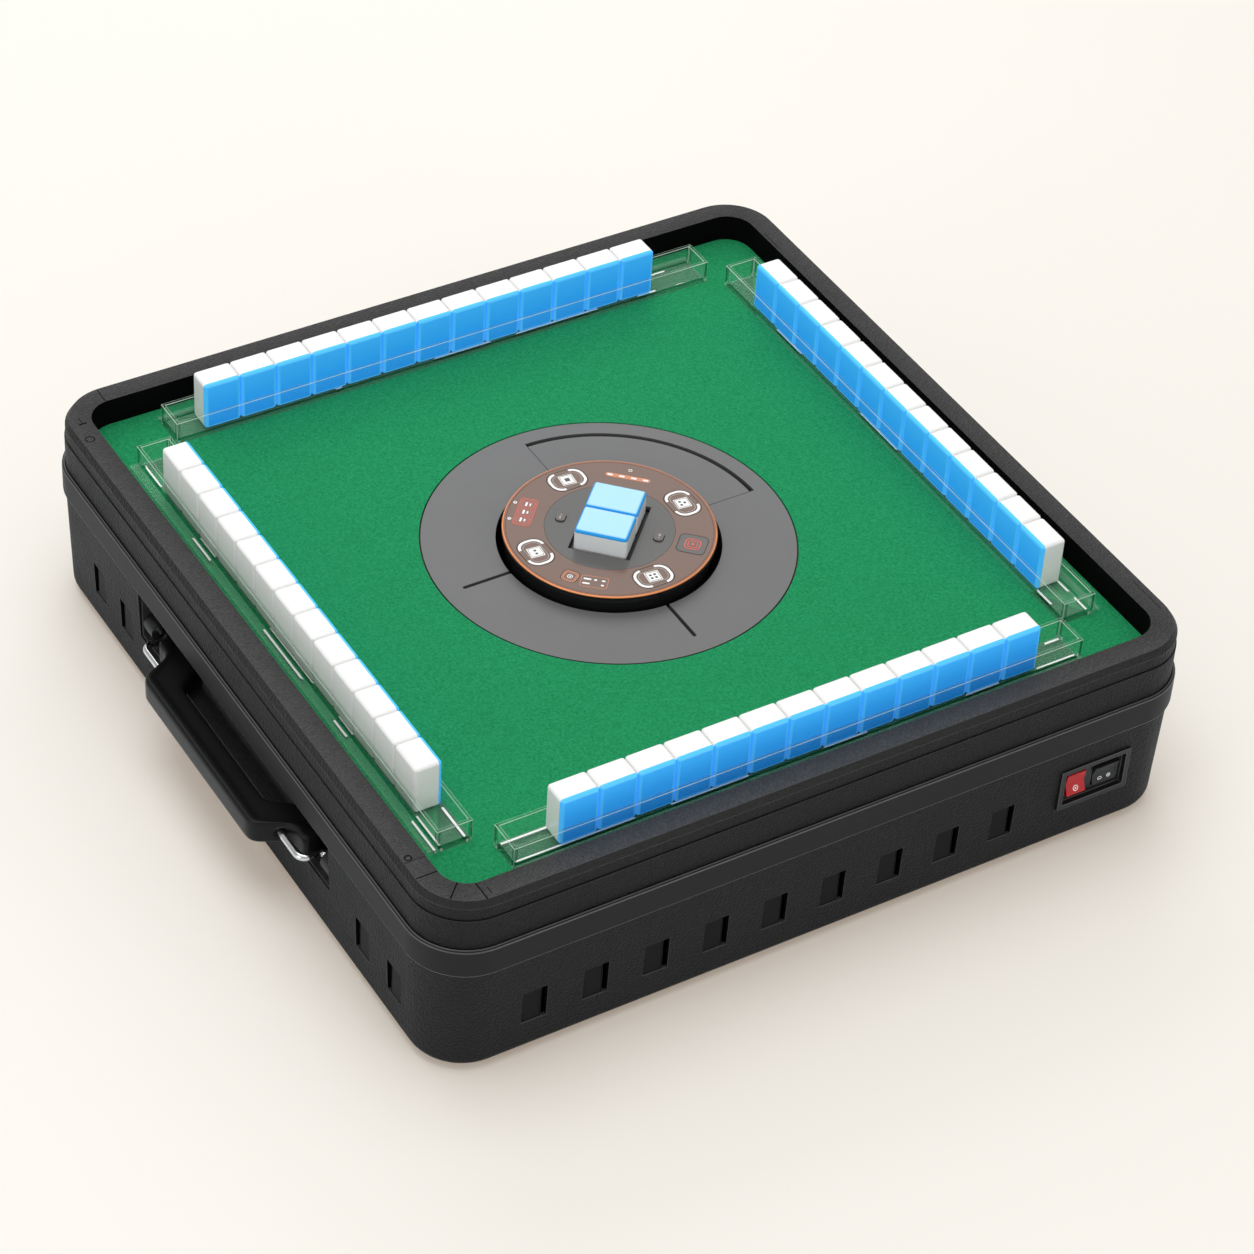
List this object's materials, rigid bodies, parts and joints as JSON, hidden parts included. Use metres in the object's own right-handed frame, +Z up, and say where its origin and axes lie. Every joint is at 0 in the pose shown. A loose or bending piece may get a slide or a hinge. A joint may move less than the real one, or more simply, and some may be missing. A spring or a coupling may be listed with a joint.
{
  "type": "portable automatic mahjong table",
  "caption": "Square felt-topped carrying case with a round console, a tile lift and mixing drum inside, clear tile racks on every side and a folding side handle.",
  "frame": {"origin": "on the ground under the centre of the square case, in the plane of its feet", "axes": "+Z up, +X right along the side with the switches, +Y to the back; the handle is on the -X side and the switches face -Y"},
  "size_m": [0.6485, 0.623, 0.181],
  "materials": {
    "shell_plastic": "fine-grained black moulding",
    "collar_plastic": "black moulding with a faint brushed grain",
    "frame_plastic": "black moulding with a leather grain",
    "black_plastic": "plain black moulding",
    "motor_case": "dark grey casing",
    "rubber": "matt black rubber",
    "steel": "bright zinc-plated steel",
    "board": "bare fibreboard",
    "felt": "short green felt",
    "grey_plastic": "smooth mid grey",
    "copper_trim": "copper-coloured edge",
    "brown_panel": "glossy brown printed panel",
    "dark_panel": "semi-gloss dark grey",
    "inner_moulding": "plain inner moulding",
    "gear_plastic": "natural off-white acetal",
    "circuit_board": "green circuit board",
    "red_plastic": "glossy red",
    "chrome": "polished chrome",
    "tile_white": "polished white melamine",
    "tile_blue": "polished light blue melamine",
    "clear_acrylic": "clear acrylic with green edges"
  },
  "bodies": {
    "case": {"base_shell": "shell_plastic", "base_floor": "shell_plastic", "handle_recess": "black_plastic", "collar": "collar_plastic", "top_frame": "frame_plastic", "rubber_feet": "rubber", "case_screws": "steel", "table_board": "board", "felt": "felt", "centre_ring": "grey_plastic", "console_housing": "black_plastic", "console_trim": "copper_trim", "console_panel": "brown_panel", "inner_panel": "dark_panel", "centre_column": "inner_moulding", "lift_motor": "motor_case", "drum_bearing": "gear_plastic", "drum_motor": "motor_case", "control_board": "circuit_board", "power_supply": "motor_case", "switch_bezel": "black_plastic", "power_switch_body": "motor_case", "mode_switch_body": "motor_case", "power_inlet": "black_plastic", "handle_bracket_back": "black_plastic", "handle_bracket_front": "black_plastic"},
    "handle": {"handle_grip": "black_plastic", "handle_wire_back": "chrome", "handle_wire_front": "chrome"},
    "power_rocker": {"power_rocker": "red_plastic"},
    "mode_rocker": {"mode_rocker": "black_plastic"},
    "lift": {"lift_platform": "inner_moulding"},
    "lift_screw": {"lift_screw": "steel"},
    "centre_tiles": {"centre_tile_bodies": "tile_white", "centre_tile_backs": "tile_blue"},
    "feed_hatch": {"feed_hatch": "grey_plastic"},
    "drum": {"mixing_drum": "inner_moulding", "drum_gear": "gear_plastic"},
    "pinion": {"drum_pinion": "gear_plastic", "motor_shaft": "steel"},
    "key_front": {"key_front": "brown_panel"},
    "key_right": {"key_right": "brown_panel"},
    "key_back": {"key_back": "brown_panel"},
    "key_left": {"key_left": "brown_panel"},
    "start_key": {"start_key": "dark_panel"},
    "dice_key": {"dice_key": "brown_panel"},
    "button_left": {"button_left": "dark_panel"},
    "button_right": {"button_right": "dark_panel"},
    "rack_back": {"rack_back": "clear_acrylic", "tiles_back_bodies": "tile_white", "tiles_back_backs": "tile_blue"},
    "rack_left": {"rack_left": "clear_acrylic", "tiles_left_bodies": "tile_white", "tiles_left_backs": "tile_blue"},
    "rack_front": {"rack_front": "clear_acrylic", "tiles_front_bodies": "tile_white", "tiles_front_backs": "tile_blue"},
    "rack_right": {"rack_right": "clear_acrylic", "tiles_right_bodies": "tile_white", "tiles_right_backs": "tile_blue"}
  },
  "joints": [
    {"name": "handle_hinge", "type": "hinge", "parent": "case", "child": "handle", "pos_m": [-0.298, 0, 0.062], "axis": [0, 1, 0], "range_deg": [0, 45]},
    {"name": "power_switch", "type": "hinge", "parent": "case", "child": "power_rocker", "pos_m": [0.21375, -0.3052, 0.0565], "axis": [1, 0, 0], "range_deg": [0, 14]},
    {"name": "mode_switch", "type": "hinge", "parent": "case", "child": "mode_rocker", "pos_m": [0.23975, -0.3052, 0.0565], "axis": [1, 0, 0], "range_deg": [-14, 0]},
    {"name": "lift_slide", "type": "slide", "parent": "case", "child": "lift", "axis": [0, 0, -1], "range_m": [0, 0.084]},
    {"name": "lift_screw_spin", "type": "hinge", "parent": "case", "child": "lift_screw", "pos_m": [0.02404, -0.02404, 0.08], "axis": [0, 0, 1], "range_deg": [-5, 3785]},
    {"name": "centre_tiles_lift_off", "type": "slide", "parent": "lift", "child": "centre_tiles", "axis": [0, 0, 1], "range_m": [0, 0.06]},
    {"name": "feed_hatch_lift_off", "type": "slide", "parent": "case", "child": "feed_hatch", "axis": [0, 0, 1], "range_m": [0, 0.04]},
    {"name": "drum_spin", "type": "hinge", "parent": "case", "child": "drum", "pos_m": [0, 0, 0.05], "axis": [0, 0, 1], "continuous": true},
    {"name": "pinion_spin", "type": "hinge", "parent": "case", "child": "pinion", "pos_m": [0.14001, -0.14001, 0.045], "axis": [0, 0, 1], "continuous": true},
    {"name": "key_front_press", "type": "slide", "parent": "case", "child": "key_front", "axis": [0, 0, -1], "range_m": [0, 0.0008], "stiffness_N_per_m": 600},
    {"name": "key_right_press", "type": "slide", "parent": "case", "child": "key_right", "axis": [0, 0, -1], "range_m": [0, 0.0008], "stiffness_N_per_m": 600},
    {"name": "key_back_press", "type": "slide", "parent": "case", "child": "key_back", "axis": [0, 0, -1], "range_m": [0, 0.0008], "stiffness_N_per_m": 600},
    {"name": "key_left_press", "type": "slide", "parent": "case", "child": "key_left", "axis": [0, 0, -1], "range_m": [0, 0.0008], "stiffness_N_per_m": 600},
    {"name": "start_key_press", "type": "slide", "parent": "case", "child": "start_key", "axis": [0, 0, -1], "range_m": [0, 0.0008], "stiffness_N_per_m": 600},
    {"name": "dice_key_press", "type": "slide", "parent": "case", "child": "dice_key", "axis": [0, 0, -1], "range_m": [0, 0.0008], "stiffness_N_per_m": 600},
    {"name": "button_left_press", "type": "slide", "parent": "case", "child": "button_left", "axis": [0, 0, -1], "range_m": [0, 0.0008], "stiffness_N_per_m": 600},
    {"name": "button_right_press", "type": "slide", "parent": "case", "child": "button_right", "axis": [0, 0, -1], "range_m": [0, 0.0008], "stiffness_N_per_m": 600},
    {"name": "rack_back_lift_off", "type": "slide", "parent": "case", "child": "rack_back", "axis": [0, 0, 1], "range_m": [0, 0.06]},
    {"name": "rack_left_lift_off", "type": "slide", "parent": "case", "child": "rack_left", "axis": [0, 0, 1], "range_m": [0, 0.06]},
    {"name": "rack_front_lift_off", "type": "slide", "parent": "case", "child": "rack_front", "axis": [0, 0, 1], "range_m": [0, 0.06]},
    {"name": "rack_right_lift_off", "type": "slide", "parent": "case", "child": "rack_right", "axis": [0, 0, 1], "range_m": [0, 0.06]}
  ],
  "couplings": [
    {"joint": "lift_screw_spin", "follows": "lift_slide", "rad_per_m": 785.4},
    {"joint": "pinion_spin", "follows": "drum_spin", "ratio": -5.6}
  ]
}
